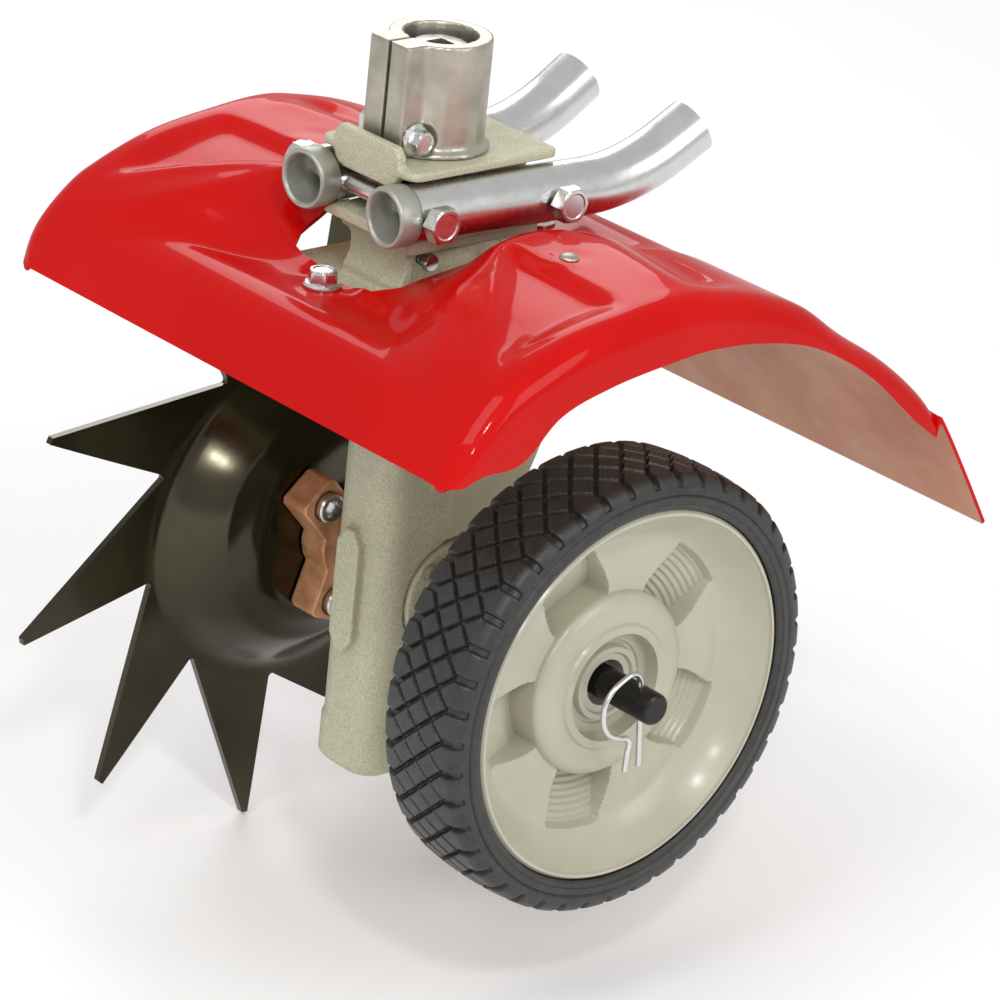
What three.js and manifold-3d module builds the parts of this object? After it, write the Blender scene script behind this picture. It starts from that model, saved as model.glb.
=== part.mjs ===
// Lower unit of a powered wheel hoe: worm-gear housing, handle stubs and fender, with a star-shaped
// edging blade on one end of the axle and a freewheeling guide wheel on the other.
// Millimetres. The drive shaft is the Z axis, the origin is the centre of the top face of the drive
// housing, +X runs along the axle towards the wheel, +Y to the rear, where the handles are.
import * as THREE from "three";
import { mergeVertices } from "three/addons/utils/BufferGeometryUtils.js";
import Module from "manifold-3d";

const wasm = await Module();
wasm.setup();

// ---- driving dimensions; heights are measured from the axle's centre line ----
const TOP = 225; // top face of the drive housing above the axle
const AXLE_Y = 18; // centre distance of worm and worm wheel
const GAP = 0.3; // clearance kept between neighbouring solids

const AXLE_R = 6.35;
const AXLE_LEFT = -74;
const AXLE_RIGHT = 134;
const FLAT_DEPTH = 1.2; // drive flat on the blade end of the axle
const PIN_R = 1.1; // wire radius of the hairpin clips
const LEFT_PIN = { x: -66, up: -1 }; // its legs point up, clear of the blade's screws
const RIGHT_PIN = { x: 125, up: 1 };

const COLUMN_HALF = 17; // the worm column is a rounded box in plan
const COLUMN_FRONT = -18.5;
const COLUMN_REAR = 21.5;
const PAD_FRONT = -23;
const COLUMN_BOTTOM = -72;
const CHAMBER_HALF = 8;
const CHAMBER_R = 14.5;
const BULGE_R = 24;
const COVER_FACE = 14; // machined face that the side cover bolts to
const SEAL_R = 11;
const BUSHING_R = 9;
const SHELF_TOP = 129.5;
const SADDLE_TOP = 158;

const TEETH = 24;
const MODULE = 1;
const WORM_PITCH_R = 6;
const WORM_LENGTH = 14;

const TUBE_R = 11.1;
const TUBE_WALL = 1.2;
const TUBE_X = 23.6; // at the front end; the tubes splay outwards to the rear
const TUBE_Z = 166.5;
const TUBE_FRONT = -41;
const TUBE_BEND_Y = 51;
const TUBE_BEND_R = 80;
const TUBE_REST = 14; // straight length after the bend
const SPLAY = 3.5;
const BEND = 30;
const COLLAR_R = 11.6;
const COLLAR_LENGTH = 9.5;
const BOLT_Y = [-26, 33.5];
const BOLT_R = 3.9;

const PLATE_BOTTOM = 179;
const PLATE_TOP = 182.2;
const HOUSING_R = 19.6;
const SPIGOT_R = 13.6;

const FENDER_HALF = 130;
const FENDER_STEEL = 1.6;
const FENDER_BOLT_Y = [-47, 58];
const RIVET_AT = [74, 6];

const BLADE_X = -80.5;
const BLADE_STEEL = 3;
const BLADE_TIP_R = 134;
const BLADE_ROOT_R = 73;
const BLADE_POINTS = 10;
const BLADE_ANGLE = 157; // direction of one tip, in degrees from +Y
const HUB_X = [-55.5, -41];
const HUB_SCREW_R = 24.8;
const HUB_ANGLES = [131, 251, 11];

const WHEEL_X = [79, 122];
const TYRE_R = 89;
const RIM_R = 74;

// ---- solids ----
function solid(geometry) {
  const g = geometry.clone();
  g.deleteAttribute("normal");
  g.deleteAttribute("uv");
  const merged = mergeVertices(g, 1e-4);
  const triVerts = new Uint32Array(merged.index.array);
  const build = () =>
    new wasm.Manifold(
      new wasm.Mesh({ numProp: 3, vertProperties: merged.attributes.position.array, triVerts }),
    );
  const made = build();
  if (made.volume() > 0) return made;
  for (let i = 0; i < triVerts.length; i += 3) {
    const first = triVerts[i];
    triVerts[i] = triVerts[i + 1];
    triVerts[i + 1] = first;
  }
  return build();
}

function geometryOf(manifold) {
  const mesh = manifold.getMesh();
  const position = new Float32Array(mesh.numVert * 3);
  for (let i = 0; i < mesh.numVert; i++) {
    for (let k = 0; k < 3; k++) position[i * 3 + k] = mesh.vertProperties[i * mesh.numProp + k];
  }
  const g = new THREE.BufferGeometry();
  g.setAttribute("position", new THREE.BufferAttribute(position, 3));
  g.setIndex(new THREE.BufferAttribute(new Uint32Array(mesh.triVerts), 1));
  g.computeVertexNormals();
  return g;
}

const join = (...parts) => parts.reduce((a, b) => a.add(b));
const cut = (body, ...tools) => tools.reduce((a, b) => a.subtract(b), body);

// A closed mesh from flat lists of coordinates and corner indices.
function indexed(position, index) {
  const g = new THREE.BufferGeometry();
  g.setAttribute("position", new THREE.Float32BufferAttribute(position, 3));
  g.setIndex(index);
  return g;
}

// A cylinder whose axis runs along "x", "y" or "z", from a to b.
function rod(axis, radius, a, b, at = [0, 0], sides = 16) {
  const g = new THREE.CylinderGeometry(radius, radius, b - a, sides);
  if (axis === "x") g.rotateZ(-Math.PI / 2);
  if (axis === "z") g.rotateX(Math.PI / 2);
  const middle = (a + b) / 2;
  if (axis === "x") g.translate(middle, at[0], at[1]);
  if (axis === "y") g.translate(at[0], middle, at[1]);
  if (axis === "z") g.translate(at[0], at[1], middle);
  return solid(g);
}

function block(x0, x1, y0, y1, z0, z1) {
  const g = new THREE.BoxGeometry(x1 - x0, y1 - y0, z1 - z0);
  return solid(g.translate((x0 + x1) / 2, (y0 + y1) / 2, (z0 + z1) / 2));
}

// A solid of revolution; the profile is [radius, height] pairs and its axis is "x" or "z".
function turned(axis, profile, at = [0, 0], sides = 20) {
  const g = new THREE.LatheGeometry(profile.map(([r, h]) => new THREE.Vector2(r, h)), sides);
  if (axis === "x") g.rotateZ(-Math.PI / 2).translate(0, at[0], at[1]);
  if (axis === "z") g.rotateX(Math.PI / 2).translate(at[0], at[1], 0);
  return solid(g);
}

// A hollow ring between two radii, as a closed profile.
function ring(axis, inner, outer, a, b, at = [0, 0], sides = 16) {
  const profile = [[inner, a], [outer, a], [outer, b], [inner, b], [inner, a]];
  return turned(axis, profile, at, sides);
}

// An outline in Y and Z, extruded along X with optionally rounded rims.
function slab(outline, x0, x1, round = 0) {
  const shape = new THREE.Shape(outline.map(([y, z]) => new THREE.Vector2(y, z)));
  const g = new THREE.ExtrudeGeometry(shape, {
    depth: x1 - x0 - 2 * round,
    bevelEnabled: round > 0,
    bevelThickness: round,
    bevelSize: round,
    bevelOffset: -round,
    bevelSegments: 1,
    curveSegments: 6,
  });
  const toX = new THREE.Matrix4().set(0, 0, 1, x0 + round, 1, 0, 0, 0, 0, 1, 0, 0, 0, 0, 0, 1);
  return solid(g.applyMatrix4(toX));
}

function hexHead(axis, acrossFlats, a, b, at) {
  return rod(axis, acrossFlats / Math.sqrt(3), a, b, at, 6);
}

// ---- finishes ----
const finish = (color, roughness, metalness) => () =>
  new THREE.MeshStandardMaterial({ color, roughness, metalness });
const cast = finish(0xb4ae9c, 0.7, 0.6);
const zinc = finish(0xb9b9b4, 0.3, 0.9);
const greySleeve = finish(0x8f9490, 0.5, 0.2);
const redPaint = finish(0xe01810, 0.25, 0.1);
const blackSteel = finish(0x15120f, 0.35, 0.7);
const oliveSteel = finish(0x3a3226, 0.4, 0.7);
const copper = finish(0xb06a3c, 0.5, 0.7);
const rubber = finish(0x242422, 0.85, 0);
const greyPlastic = finish(0xb9b39c, 0.45, 0);
const bronze = finish(0xa8793a, 0.4, 0.8);
const steel = finish(0x9a9a98, 0.35, 0.9);
const sealRubber = finish(0x1a1a1a, 0.8, 0);

const wheelHoe = new THREE.Group();
const machine = new THREE.Group(); // its Z is measured from the axle
machine.position.z = -TOP;
wheelHoe.add(machine);

function add(name, shape, material) {
  const mesh = new THREE.Mesh(geometryOf(shape), material());
  mesh.name = name;
  machine.add(mesh);
}

// ---- fender: one pressed steel arch, dished round the neck, with turned-down ends ----
// Outer profile in Y and Z near the ends, from the front edge over the crest to the rear edge.
const FENDER_PROFILE = [
  [-92, 108], [-88, 123], [-63, 143], [-34, 154], [-4, 159], [21, 161], [41, 158], [61, 153],
  [81, 145], [102, 131], [127, 116], [148, 100], [159, 88], [176, 63.5], [192, 39],
];
// Lower edge of the turned-down ends; the flange stops before the rear apron.
const FLANGE_EDGE = [
  [-92, 104], [-80, 111], [-60, 113], [-44, 127], [-22, 134], [4, 138], [28, 140], [54, 138],
  [80, 132], [105, 120], [121, 109], [140, 93], [158, 80],
];
const FLANGE_REAR = 156;
const FLANGE_START = 114; // half-width where the top starts to turn down
const DISH_DEPTH = 17;
// Half-width of the dish at each Y: where its slope leaves the arch, and where it reaches the floor.
const DISH_RIM = [
  [-92, 124], [-82, 115], [-70, 94], [-51, 74], [-40, 67], [-28, 62], [-17, 56], [-5, 48],
  [11, 47], [24, 51], [38, 57], [60, 64], [80, 74], [192, 84],
];
const DISH_FOOT = [
  [-92, 100], [-84, 96], [-71, 66], [-55, 40], [-38, 24], [-10, 25], [20, 27], [40, 30],
  [60, 36], [192, 60],
];
const VALLEY_DEPTH = 3.5; // pressed channel that runs out to each side behind the crest
const VALLEY_HALF = 11;
const PANEL_DEPTH = 3.5; // sunk triangular panel at each front corner
// Flat seats pressed round the fasteners: X, Y, half-width, width of the blend around it.
const SEATS = [...FENDER_BOLT_Y.map((y) => [0, y, 9, 8]), [...RIVET_AT, 5, 6]];

function heightAt(table, y) {
  const i = Math.max(1, table.findIndex(([ty]) => ty >= y));
  const [y0, z0] = table[i - 1];
  const [y1, z1] = table[i];
  return z0 + ((z1 - z0) * (y - y0)) / (y1 - y0);
}

// Rises smoothly from 0 at a to 1 at b; b may lie below a.
function smooth(a, b, t) {
  const u = Math.min(Math.max((t - a) / (b - a), 0), 1);
  return u * u * (3 - 2 * u);
}

// Channel and triangular panel on one side, as a depth below the arch.
function sidePressing(ax, y) {
  const fade = 1 - smooth(104, 118, ax);
  const valleyY = 56 - 0.24 * (ax - 46);
  const valley = Math.exp(-(((y - valleyY) / VALLEY_HALF) ** 2)) * smooth(50, 66, ax);
  const pastCrease = (ax - 68) * 0.69 + (y + 22) * 0.72;
  const panel = smooth(0, 7, pastCrease) * smooth(-3, -10, y) * smooth(-72, -40, y);
  return fade * (VALLEY_DEPTH * valley + PANEL_DEPTH * panel);
}

// The arch, less what the pressing sinks round the neck and towards the sides.
function fenderSeat(x, y) {
  const ax = Math.abs(x);
  const across = 1 - smooth(heightAt(DISH_FOOT, y), heightAt(DISH_RIM, y), ax);
  const along = smooth(-86, -44, y) * (1 - smooth(40, 92, y));
  const drop = y < FLANGE_REAR ? 9 * smooth(FLANGE_START, FENDER_HALF + 6, ax) : 0;
  return heightAt(FENDER_PROFILE, y) - DISH_DEPTH * across * along - drop - sidePressing(ax, y);
}

function fenderHeight(x, y) {
  let z = fenderSeat(x, y);
  for (const [sx, sy, half, blend] of SEATS) {
    const away = Math.max(Math.abs(x - sx), Math.abs(y - sy));
    z += (fenderSeat(sx, sy) - z) * (1 - smooth(half, half + blend, away));
  }
  return z;
}

function fenderGrid() {
  const half = [0, 9, 18, 26, 34, 44, 56, 69, 79, 92, 106, 118, FENDER_HALF];
  const columns = [...half.slice(1).reverse().map((x) => -x), ...half];
  const rows = [
    -92, -88, -74, -64, -56, -38, -26, -13, 1, 11, 24, 38, 49, 58, 67, 84, 106, 130, 155, 159, 175, 192,
  ];
  return rows.map((y) => {
    const edge = y < FLANGE_REAR ? heightAt(FLANGE_EDGE, y) : Infinity;
    return columns.map((x) => {
      const z = fenderHeight(x, y);
      const outermost = Math.abs(x) === FENDER_HALF;
      return new THREE.Vector3(x, y, outermost ? Math.min(edge, z) : z);
    });
  });
}

// The sheet is the grid and its copy one steel thickness inwards, joined round the rim.
function fenderSkin() {
  const outer = fenderGrid();
  const lastRow = outer.length - 1;
  const wide = outer[0].length;
  const inward = (i, j) => {
    const along = outer[Math.min(i + 1, lastRow)][j].clone().sub(outer[Math.max(i - 1, 0)][j]);
    const across = outer[i][Math.min(j + 1, wide - 1)].clone().sub(outer[i][Math.max(j - 1, 0)]);
    return along.cross(across).normalize().multiplyScalar(FENDER_STEEL);
  };
  const inner = outer.map((line, i) => line.map((p, j) => p.clone().add(inward(i, j))));
  const position = [...outer.flat(), ...inner.flat()].flatMap((p) => [p.x, p.y, p.z]);
  const under = outer.length * wide;
  const index = [];
  const quad = (a, b, c, d) => index.push(a, b, c, a, c, d);
  for (let i = 0; i < lastRow; i++) {
    for (let j = 0; j < wide - 1; j++) {
      const a = i * wide + j;
      quad(a, a + 1, a + 1 + wide, a + wide);
      quad(under + a, under + a + wide, under + a + 1 + wide, under + a + 1);
    }
  }
  const rim = [];
  for (let j = 0; j < wide; j++) rim.push(j);
  for (let i = 1; i <= lastRow; i++) rim.push(i * wide + wide - 1);
  for (let j = wide - 2; j >= 0; j--) rim.push(lastRow * wide + j);
  for (let i = lastRow - 1; i > 0; i--) rim.push(i * wide);
  rim.forEach((a, k) => {
    const b = rim[(k + 1) % rim.length];
    quad(a, under + a, under + b, b);
  });
  return solid(indexed(position, index));
}

// Hole in the fender that the neck of the gear housing comes through, in X and Y.
const NECK_OPENING = [[-32, -33], [-12, -38], [19, -38], [26, -24], [26, 46], [-26, 46], [-38, 0]];

function fender() {
  const opening = new THREE.Shape(NECK_OPENING.map(([x, y]) => new THREE.Vector2(x, y)));
  const hole = new THREE.ExtrudeGeometry(opening, { depth: 80, bevelEnabled: false });
  return cut(
    fenderSkin(),
    solid(hole.translate(0, 0, 100)),
    ...FENDER_BOLT_Y.map((y) => rod("z", 3.2, 100, 170, [0, y], 14)),
    rod("z", 2.6, 100, 180, RIVET_AT, 14),
  );
}

// ---- gear housing: one casting from the handle plate down to the foot of the worm column ----
const onAxle = [AXLE_Y, 0];
const radians = THREE.MathUtils.degToRad;
const GREASE_PLUG = [-12, 143];
const COVER_SCREWS = [45, 135, 225, 315];
const SCREW_CIRCLE = 19.4;
const WORM_BORE_R = 9.8;
const SHAFT_BORE_R = 11.3;

function around([y, z], radius, degrees) {
  return [y + radius * Math.cos(radians(degrees)), z + radius * Math.sin(radians(degrees))];
}

// A vertical post with rounded corners in plan.
function post(half, front, rear, corner, z0, z1, round = 0) {
  const shape = new THREE.Shape();
  shape.moveTo(-half + corner, front);
  shape.lineTo(half - corner, front);
  shape.absarc(half - corner, front + corner, corner, -Math.PI / 2, 0);
  shape.lineTo(half, rear - corner);
  shape.absarc(half - corner, rear - corner, corner, 0, Math.PI / 2);
  shape.lineTo(-half + corner, rear);
  shape.absarc(-half + corner, rear - corner, corner, Math.PI / 2, Math.PI);
  shape.lineTo(-half, front + corner);
  shape.absarc(-half + corner, front + corner, corner, Math.PI, 1.5 * Math.PI);
  const g = new THREE.ExtrudeGeometry(shape, {
    depth: z1 - z0 - 2 * round,
    bevelEnabled: round > 0,
    bevelThickness: round,
    bevelSize: round,
    bevelOffset: -round,
    bevelSegments: 1,
    curveSegments: 4,
  });
  return solid(g.translate(0, 0, z0 + round));
}

// The space that a handle tube needs, with its splay.
function tubeSpace(side, radius, from, to) {
  const g = new THREE.CylinderGeometry(radius, radius, to - from, 18);
  g.translate(0, (from + to) / 2 - TUBE_FRONT, 0).rotateZ(-side * radians(SPLAY));
  return solid(g.translate(side * TUBE_X, TUBE_FRONT, TUBE_Z));
}

// The wall that closes the front of the handle plate, as an outline in X and Z.
function frontWall() {
  const half = [[0, 173.6], [12, 173.6], [16, 174.6], [18.4, 178], [18.4, 186.5], [15.5, 189.6], [0, 189.6]];
  const outline = [...half, ...half.slice(1, -1).reverse().map(([x, z]) => [-x, z])];
  const shape = new THREE.Shape(outline.map(([x, z]) => new THREE.Vector2(x, z)));
  const g = new THREE.ExtrudeGeometry(shape, { depth: 4, bevelEnabled: false });
  return solid(g.rotateX(Math.PI / 2).translate(0, -27.5, 0));
}

// Raised machined strip on the front of the column, with pointed ends.
function frontPad() {
  const half = [[2.5, -21], [6.5, -15], [6.5, 24], [2.5, 30]];
  const outline = [...half, ...half.map(([x, z]) => [-x, z]).reverse()];
  const shape = new THREE.Shape(outline.map(([x, z]) => new THREE.Vector2(x, z)));
  const g = new THREE.ExtrudeGeometry(shape, { depth: 11, bevelEnabled: false });
  return solid(g.rotateX(Math.PI / 2).translate(0, PAD_FRONT + 11, 0));
}

function gearHousing() {
  const column = post(COLUMN_HALF, COLUMN_FRONT, COLUMN_REAR, 12, COLUMN_BOTTOM, SADDLE_TOP, 3);
  const web = slab(
    [[-4, -66], [16, -60], [34, -26], [43, 0], [52, 34], [64, 62], [68, 92], [68, 112], [-4, 112]],
    -16,
    16,
    3,
  );
  const bulge = rod("x", BULGE_R, -19, COVER_FACE, onAxle, 24);
  const leftBoss = rod("x", 16, -26, -18, onAxle, 20);
  const foot = post(COLUMN_HALF + 0.7, COLUMN_FRONT - 0.7, COLUMN_REAR + 0.7, 12, COLUMN_BOTTOM, -50, 3);
  const shelf = slab([[-46, 108], [-54, 120], [-54, SHELF_TOP], [68, SHELF_TOP], [68, 108]], -42, 42);
  const flare = slab([[-20, 76], [-42, 109], [62, 109], [58, 76]], -28, 28);
  const bosses = FENDER_BOLT_Y.map((y) => {
    const top = fenderSeat(0, y) - FENDER_STEEL - GAP;
    return rod("z", 7.5, SHELF_TOP - 2, top, [0, y], 18);
  });
  const neck = post(15, -10, 40, 8, 118, PLATE_BOTTOM + 1);
  const saddle = block(-20, 20, -32, 40, 147, SADDLE_TOP);
  const plate = post(27.3, -31.5, 41, 5, PLATE_BOTTOM, PLATE_TOP);
  const spigot = rod("z", SPIGOT_R, PLATE_TOP - 1, 203, [0, 0], 24);
  const body = join(
    column, foot, web, bulge, leftBoss, frontPad(),
    shelf, flare, ...bosses, neck, saddle, plate, frontWall(), spigot,
  );
  const plugHole = rod("x", 2.3, 3, 40, GREASE_PLUG, 12);
  return cut(
    body,
    tubeSpace(-1, COLLAR_R + GAP, -60, 90),
    tubeSpace(1, COLLAR_R + GAP, -60, 90),
    rod("z", WORM_BORE_R, -64, 30),
    rod("z", SHAFT_BORE_R, 29, 210),
    rod("x", CHAMBER_R, -CHAMBER_HALF, COVER_FACE + 1, onAxle),
    rod("x", BULGE_R + GAP, COVER_FACE, 40, onAxle, 24),
    rod("x", BUSHING_R + GAP, -20, 0, onAxle),
    rod("x", SEAL_R + GAP, -30, -19.6, onAxle),
    rod("x", BOLT_R + GAP, -20, 20, [BOLT_Y[1], TUBE_Z], 16),
    ...FENDER_BOLT_Y.map((y) => rod("z", 2.7, 112, 145, [0, y], 12)),
    ...COVER_SCREWS.map((a) => rod("x", 2.3, 10, 40, around(onAxle, SCREW_CIRCLE, a), 12)),
    plugHole,
  );
}

function sideCover() {
  const plate = rod("x", BULGE_R - 0.5, COVER_FACE + GAP, 18.5, onAxle, 24);
  const boss = rod("x", 15, 18, 25, onAxle);
  const spigot = rod("x", CHAMBER_R - GAP, CHAMBER_HALF + GAP, COVER_FACE + 1, onAxle);
  const screwHoles = COVER_SCREWS.map((a) => rod("x", 2.3, 10, 30, around(onAxle, SCREW_CIRCLE, a), 12));
  return cut(
    join(plate, boss, spigot),
    rod("x", BUSHING_R + GAP, 0, 20, onAxle),
    rod("x", SEAL_R + GAP, 19, 30, onAxle),
    ...screwHoles,
  );
}

function socketScrew(x, at, headR, headHeight, shankR, shankLength, socketR) {
  const head = rod("x", headR, x, x + headHeight, at, 14);
  const shank = rod("x", shankR, x - shankLength, x + 0.1, at, 10);
  return cut(join(head, shank), rod("x", socketR, x + headHeight * 0.4, x + headHeight + 1, at, 6));
}

add("right_bearing_cover", sideCover(), cast);
COVER_SCREWS.forEach((angle, i) => {
  const at = around(onAxle, SCREW_CIRCLE, angle);
  add(`cover_screw_${i + 1}`, socketScrew(18.8, at, 3.5, 3, 2, 7.5, 1.7), zinc);
});

const bushingBore = AXLE_R + GAP;
add("left_axle_bushing", ring("x", bushingBore, BUSHING_R, -19.3, -CHAMBER_HALF - GAP, onAxle), bronze);
add("right_axle_bushing", ring("x", bushingBore, BUSHING_R, CHAMBER_HALF + GAP, 18.7, onAxle), bronze);
add("left_axle_seal", ring("x", bushingBore, SEAL_R, -26, -20, onAxle), sealRubber);
add("right_axle_seal", ring("x", bushingBore, SEAL_R, 19.3, 25, onAxle), sealRubber);

// ---- worm shaft with its bearings and the drive cup at its upper end ----
const WORM_ROOT_R = WORM_PITCH_R - 1.3 * MODULE;
const WORM_TIP_R = WORM_PITCH_R + 0.95 * MODULE;
const PITCH = Math.PI * MODULE;
const LEAD_SLOPE = MODULE / (2 * WORM_PITCH_R); // tangent of the worm's lead angle
const BACKLASH = 0.25; // taken off each flank of the thread
const FLANK_SLOPE = Math.tan(radians(20));

// The single-start thread: a trapezium swept up a right-hand helix that faces the wheel at Z = 0.
function wormThread() {
  const perTurn = 10;
  const turns = Math.round(WORM_LENGTH / PITCH) - 1;
  const inner = WORM_ROOT_R - 0.6;
  const halfAt = (r) => PITCH / 4 - BACKLASH - (r - WORM_PITCH_R) * FLANK_SLOPE;
  const rootHalf = halfAt(inner);
  const tipHalf = halfAt(WORM_TIP_R);
  const section = [[inner, -rootHalf], [WORM_TIP_R, -tipHalf], [WORM_TIP_R, tipHalf], [inner, rootHalf]];
  const position = [];
  const index = [];
  const last = turns * perTurn;
  for (let i = 0; i <= last; i++) {
    const turn = i / perTurn - turns / 2;
    const angle = Math.PI / 2 + 2 * Math.PI * turn;
    for (const [r, h] of section) position.push(r * Math.cos(angle), r * Math.sin(angle), turn * PITCH + h);
  }
  for (let i = 0; i < last; i++) {
    for (let k = 0; k < 4; k++) {
      const a = 4 * i + k;
      const b = 4 * i + ((k + 1) % 4);
      index.push(a, b, b + 4, a, b + 4, a + 4);
    }
  }
  const end = 4 * last;
  index.push(0, 2, 1, 0, 3, 2, end, end + 1, end + 2, end, end + 2, end + 3);
  return solid(indexed(position, index));
}

function wormShaft() {
  const shaft = turned("z", [
    [0, -60], [3.7, -60], [4, -59.6], [4, -WORM_LENGTH / 2 - 2], [WORM_ROOT_R, -WORM_LENGTH / 2],
    [WORM_ROOT_R, WORM_LENGTH / 2], [5, WORM_LENGTH / 2 + 2], [5, 206], [0, 206],
  ], [0, 0], 14);
  return join(shaft, wormThread());
}

function driveCup() {
  const cup = turned("z", [[0, 199], [8.5, 199], [10, 201], [10, 221], [0, 221]]);
  return cut(cup, rod("z", 5 + GAP, 190, 206.3), block(-4, 4, -4, 4, 209, 230));
}

add("worm_shaft", wormShaft(), steel);
add("drive_cup", driveCup(), steel);
add("lower_worm_bearing", ring("z", 4 + GAP, WORM_BORE_R - GAP, -58, -49), steel);
add("upper_worm_bearing", ring("z", 5 + GAP, SHAFT_BORE_R - GAP, 31, 41), steel);

// ---- drive housing: a split tube clamped on the spigot by one flange bolt ----
const LUG_HALF = 11;
const LUG_FRONT = -25;
const CLAMP_AT = [-18.2, 189.5];

const BOLT_SEAT_R = 6.8;
const NUT_SEAT_R = 5.4;

function driveHousing() {
  const foot = PLATE_TOP + GAP;
  const tube = turned("z", [
    [0, foot], [HOUSING_R + 2.4, foot], [HOUSING_R + 2.2, foot + 1.6], [HOUSING_R + 0.3, foot + 2.6],
    [HOUSING_R, foot + 4], [HOUSING_R, TOP], [0, TOP],
  ], [0, 0], 24);
  const lug = block(-LUG_HALF, LUG_HALF, LUG_FRONT, -12, foot, TOP);
  return cut(
    join(tube, lug),
    rod("z", SPIGOT_R + GAP, 170, TOP + 1, [0, 0], 24),
    block(-0.7, 0.7, -40, -8, 180, TOP + 1),
    rod("x", 2.8, -30, 30, CLAMP_AT),
    rod("x", BOLT_SEAT_R, LUG_HALF, 30, CLAMP_AT),
    rod("x", NUT_SEAT_R, -30, -LUG_HALF, CLAMP_AT),
  );
}

function flangeBolt(axis, seat, at, flangeR, acrossFlats, shankR, shankTo, height = 6.2) {
  const flange = rod(axis, flangeR, seat, seat + 1.6, at, 16);
  const head = hexHead(axis, acrossFlats, seat + 1.5, seat + height, at);
  const shank = rod(axis, shankR, shankTo, seat + 0.1, at, 14);
  return join(flange, head, shank);
}

add("drive_housing", driveHousing(), cast);
add("clamp_bolt", flangeBolt("x", LUG_HALF + GAP, CLAMP_AT, 6.2, 8, 2.4, -18), zinc);
const clampNut = hexHead("x", 8, -16, -LUG_HALF - GAP, CLAMP_AT);
add("clamp_nut", cut(clampNut, rod("x", 2.7, -20, 20, CLAMP_AT, 14)), zinc);

// ---- handle stubs: two bent tubes with end sleeves, held by two through bolts ----
const BEND_STEPS = 4;
const TUBE_START = TUBE_FRONT + COLLAR_LENGTH + GAP;

// The tube's centre line in its own plane: straight, then an arc that turns upwards.
function handlePath() {
  const points = [[TUBE_START, 0], [TUBE_BEND_Y, 0]];
  for (let i = 1; i <= BEND_STEPS; i++) {
    const t = radians((BEND * i) / BEND_STEPS);
    points.push([TUBE_BEND_Y + TUBE_BEND_R * Math.sin(t), TUBE_BEND_R * (1 - Math.cos(t))]);
  }
  const [y, z] = points[points.length - 1];
  points.push([y + TUBE_REST * Math.cos(radians(BEND)), z + TUBE_REST * Math.sin(radians(BEND))]);
  return points;
}

// A tube wall round a path of [y, z] points: rings of points joined into one closed skin.
function tubeWall(points, outer, inner, sides = 16) {
  const position = [];
  const index = [];
  const last = points.length - 1;
  points.forEach(([y, z], i) => {
    const slope = radians((BEND * Math.min(Math.max(i - 1, 0), BEND_STEPS)) / BEND_STEPS);
    for (const radius of [outer, inner]) {
      for (let k = 0; k < sides; k++) {
        const a = (2 * Math.PI * k) / sides;
        const up = radius * Math.sin(a);
        position.push(radius * Math.cos(a), y - up * Math.sin(slope), z + up * Math.cos(slope));
      }
    }
  });
  const at = (i, wall, k) => (2 * i + wall) * sides + (k % sides);
  const quad = (a, b, c, d) => index.push(a, b, c, a, c, d);
  for (let k = 0; k < sides; k++) {
    for (let i = 0; i < last; i++) {
      quad(at(i, 0, k), at(i, 0, k + 1), at(i + 1, 0, k + 1), at(i + 1, 0, k));
      quad(at(i, 1, k + 1), at(i, 1, k), at(i + 1, 1, k), at(i + 1, 1, k + 1));
    }
    quad(at(0, 1, k), at(0, 1, k + 1), at(0, 0, k + 1), at(0, 0, k));
    quad(at(last, 0, k), at(last, 0, k + 1), at(last, 1, k + 1), at(last, 1, k));
  }
  return indexed(position, index);
}

// Puts a piece that is built round the Y axis in place on one side's splayed tube.
function onTube(side, geometry) {
  geometry.translate(0, -TUBE_FRONT, 0).rotateZ(-side * radians(SPLAY));
  return solid(geometry.translate(side * TUBE_X, TUBE_FRONT, TUBE_Z));
}

function endSleeve() {
  const front = TUBE_FRONT;
  const step = front + COLLAR_LENGTH;
  const rear = step + 16;
  const linerR = TUBE_R - TUBE_WALL - GAP;
  const profile = [
    [9.2, front], [COLLAR_R - 0.6, front], [COLLAR_R, front + 0.8], [COLLAR_R, step], [linerR, step],
    [linerR, rear], [8.4, rear], [8.4, step - 1], [9.2, step - 2], [9.2, front],
  ];
  return new THREE.LatheGeometry(profile.map(([r, h]) => new THREE.Vector2(r, h)), 16);
}

const boltHoles = BOLT_Y.map((y) => rod("x", BOLT_R + GAP, -60, 60, [y, TUBE_Z], 16));
for (const [name, side] of [["left", -1], ["right", 1]]) {
  const tube = onTube(side, tubeWall(handlePath(), TUBE_R, TUBE_R - TUBE_WALL));
  add(`${name}_handle_tube`, cut(tube, ...boltHoles), zinc);
  add(`${name}_end_sleeve`, cut(onTube(side, endSleeve()), boltHoles[0]), greySleeve);
}

BOLT_Y.forEach((y, i) => {
  const place = ["front", "rear"][i];
  const at = [y, TUBE_Z];
  const seat = TUBE_X + (y - TUBE_FRONT) * Math.tan(radians(SPLAY)) + TUBE_R + 0.9;
  const head = join(rod("x", 6.3, seat, seat + 0.6, at, 16), hexHead("x", 12.7, seat + 0.5, seat + 5.6, at));
  add(`handle_bolt_${place}`, join(head, rod("x", BOLT_R, -seat - 9.5, seat + 0.1, at, 16)), zinc);
  add(`handle_washer_${place}`, ring("x", BOLT_R + GAP, 7.5, -seat - 1, -seat, at, 16), zinc);
  const nut = hexHead("x", 12.7, -seat - 8, -seat - 1 - GAP, at);
  add(`handle_nut_${place}`, cut(nut, rod("x", BOLT_R + GAP, -80, 0, at, 16)), zinc);
});

const plug = join(hexHead("x", 6, COLUMN_HALF + GAP, COLUMN_HALF + 3.4, GREASE_PLUG),
  rod("x", 2, 9, COLUMN_HALF + 1, GREASE_PLUG, 12));
add("grease_plug", plug, zinc);

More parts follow.
